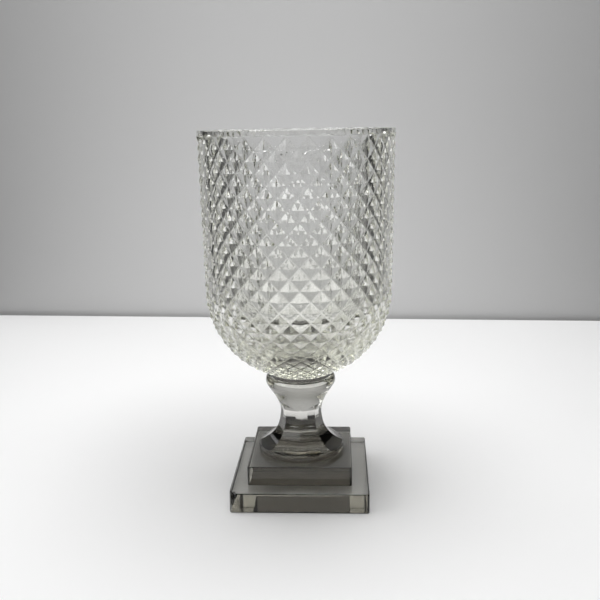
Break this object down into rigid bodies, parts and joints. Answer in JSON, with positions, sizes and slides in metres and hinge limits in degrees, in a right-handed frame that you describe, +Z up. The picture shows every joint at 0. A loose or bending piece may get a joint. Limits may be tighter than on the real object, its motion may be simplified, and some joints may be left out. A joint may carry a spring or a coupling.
{
  "type": "footed urn vase",
  "caption": "Clear cut-glass urn vase: deep diamond-cut bowl on a panelled waisted stem with a round foot, on a stepped square plinth.",
  "frame": {"origin": "middle of the resting face under the lower plinth", "axes": "+Z up along the stem's axis to the rim; X and Y along the plinths' sides, with -Y the side that faces the picture's viewer"},
  "size_m": [0.1242, 0.1242, 0.24],
  "materials": {
    "bowl_glass": "polished, diamond cut",
    "stem_glass": "polished, cut in flat panels",
    "plinth_glass": "polished, faintly smoky",
    "adhesive": "clear cured film"
  },
  "bodies": {
    "root": {"lower_plinth": "plinth_glass", "plinth_bond": "adhesive", "upper_plinth": "plinth_glass", "stem_bond": "adhesive", "stem": "stem_glass", "bowl_bond": "adhesive", "bowl": "bowl_glass"}
  },
  "joints": []
}
